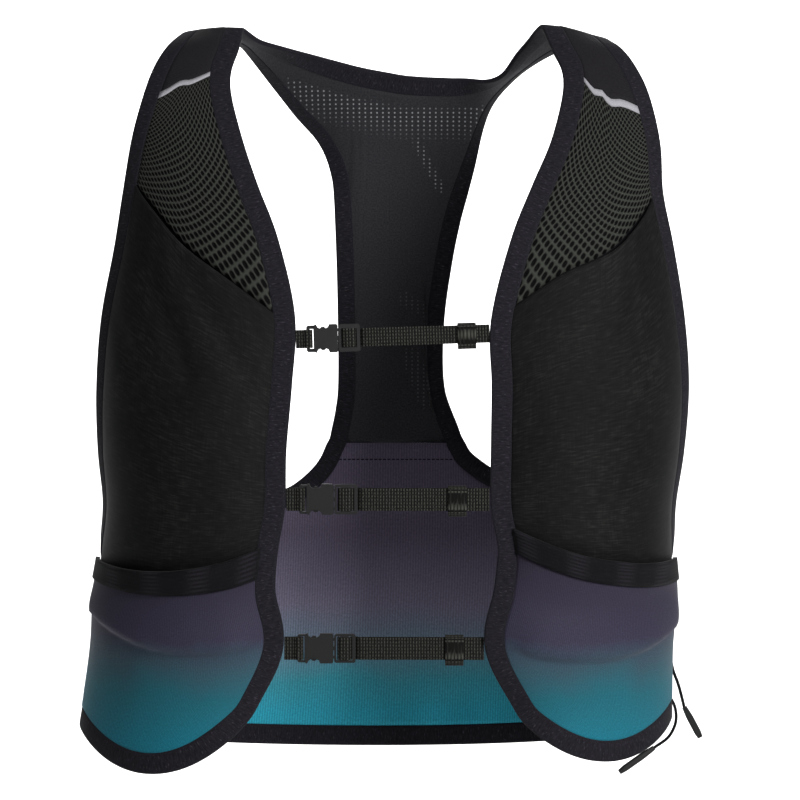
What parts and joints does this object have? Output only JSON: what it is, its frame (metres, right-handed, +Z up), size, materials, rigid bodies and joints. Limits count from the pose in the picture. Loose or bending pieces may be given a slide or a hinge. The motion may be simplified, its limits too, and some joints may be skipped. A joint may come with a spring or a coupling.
{
  "type": "running hydration vest",
  "caption": "Close-fitting running vest with bottle and waist pockets on both fronts, a slim back yoke, adjustable chest straps with side-release buckles, and a plum-to-teal waist.",
  "frame": {"origin": "midway between the two shoulder crests, where the worn vest hangs", "axes": "+Z up, -Y out of the wearer's chest, +X towards the wearer's left"},
  "size_m": [0.4289, 0.2308, 0.5186],
  "materials": {
    "lining_cloth": "smooth knit, matt",
    "cap_cloth": "plain woven, slightly glossy",
    "reflective": "retroreflective tape, silver grey",
    "open_mesh": "open warp-knit mesh",
    "ripstop": "ripstop weave, matt",
    "gradient_knit": "stretch knit, plum fading to teal",
    "elastic": "ribbed elastic",
    "binding_tape": "folded knit tape",
    "perforated_cloth": "punched knit, matt",
    "back_cloth": "stretch knit, plum fading to teal",
    "webbing": "ribbed elastic webbing",
    "buckle": "moulded, satin",
    "cord": "braided cord",
    "cord_end": "moulded pull, matt"
  },
  "bodies": {
    "root": {"chest_lining_r": "lining_cloth", "waist_lining_r": "lining_cloth", "shoulder_cap_r": "cap_cloth", "reflective_strip_r": "reflective", "mesh_panel_r": "open_mesh", "bottle_pocket_r": "ripstop", "lower_pocket_r": "gradient_knit", "pocket_band_r": "elastic", "armhole_binding_r": "binding_tape", "chest_lining_l": "lining_cloth", "waist_lining_l": "lining_cloth", "shoulder_cap_l": "cap_cloth", "reflective_strip_l": "reflective", "mesh_panel_l": "open_mesh", "bottle_pocket_l": "ripstop", "lower_pocket_l": "gradient_knit", "pocket_band_l": "elastic", "armhole_binding_l": "binding_tape", "back_yoke": "perforated_cloth", "back_lower_panel": "back_cloth", "edge_binding": "binding_tape", "upper_strap_tab": "webbing", "upper_strap": "webbing", "upper_strap_keeper": "webbing", "upper_buckle_female": "buckle", "upper_buckle_male": "buckle", "middle_strap_tab": "webbing", "middle_strap": "webbing", "middle_strap_keeper": "webbing", "middle_buckle_female": "buckle", "middle_buckle_male": "buckle", "lower_strap_tab": "webbing", "lower_strap": "webbing", "lower_strap_keeper": "webbing", "lower_buckle_female": "buckle", "lower_buckle_male": "buckle", "side_pull_cord": "cord", "side_pull_end": "cord_end", "hem_pull_cord": "cord", "hem_pull_end": "cord_end"}
  },
  "joints": []
}
